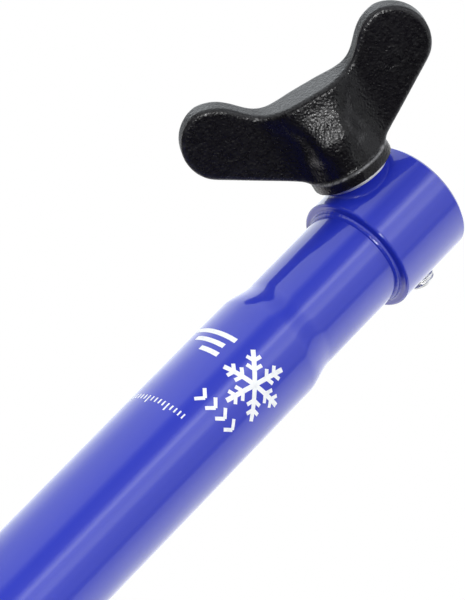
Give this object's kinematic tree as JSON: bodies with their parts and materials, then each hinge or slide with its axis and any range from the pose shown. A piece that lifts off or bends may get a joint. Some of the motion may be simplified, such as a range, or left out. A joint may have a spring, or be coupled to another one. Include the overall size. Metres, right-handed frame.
{
  "type": "hand ice auger",
  "caption": "Drilling section of a hand ice auger: painted tube with helical flight and two-blade head, socket collar with wing screw for the crank, push-on edge covers.",
  "frame": {"origin": "on the tube's axis, at the tip of the pilot point", "axes": "+Z along the tube towards the handle socket's mouth; the wing screw points to -X, the blades lie along +X and -X"},
  "size_m": [0.1518, 0.146, 0.8692],
  "materials": {
    "blue_paint": "glossy blue enamel over steel",
    "black_plastic": "fine-grained black nylon",
    "zinc_steel": "bright zinc-plated steel",
    "bare_steel": "turned steel",
    "blade_steel": "ground hardened steel",
    "cover_plastic": "soft black plastic"
  },
  "bodies": {
    "auger": {"main_tube": "blue_paint", "socket_collar": "blue_paint", "collar_weld": "blue_paint", "main_flight": "blue_paint", "lead_flight": "blue_paint", "flight_welds": "blue_paint", "blade_seat_a": "blue_paint", "blade_seat_b": "blue_paint", "pilot_point": "bare_steel", "blade_a": "blade_steel", "blade_b": "blade_steel", "blade_screws": "zinc_steel", "blade_washers": "zinc_steel", "blade_nuts": "zinc_steel"},
    "clamp_slider": {"stud_washer": "zinc_steel"},
    "wing_screw": {"wing_knob": "black_plastic", "clamp_stud": "zinc_steel"},
    "cover_a": {"edge_cover_a": "cover_plastic"},
    "cover_b": {"edge_cover_b": "cover_plastic"}
  },
  "joints": [
    {"name": "clamp_travel", "type": "slide", "parent": "auger", "child": "clamp_slider", "axis": [-1, 0, 0], "range_m": [0, 0.0066]},
    {"name": "clamp_turn", "type": "hinge", "parent": "clamp_slider", "child": "wing_screw", "pos_m": [-0.0171, 0, 0.8379], "axis": [-1, 0, 0], "range_deg": [0, 1900]},
    {"name": "cover_a_pull", "type": "slide", "parent": "auger", "child": "cover_a", "axis": [0, -0.9724, -0.2334], "range_m": [0, 0.03]},
    {"name": "cover_b_pull", "type": "slide", "parent": "auger", "child": "cover_b", "axis": [0, 0.9724, -0.2334], "range_m": [0, 0.03]}
  ],
  "couplings": [
    {"joint": "clamp_travel", "follows": "clamp_turn", "m_per_rad": 0.00019894}
  ]
}
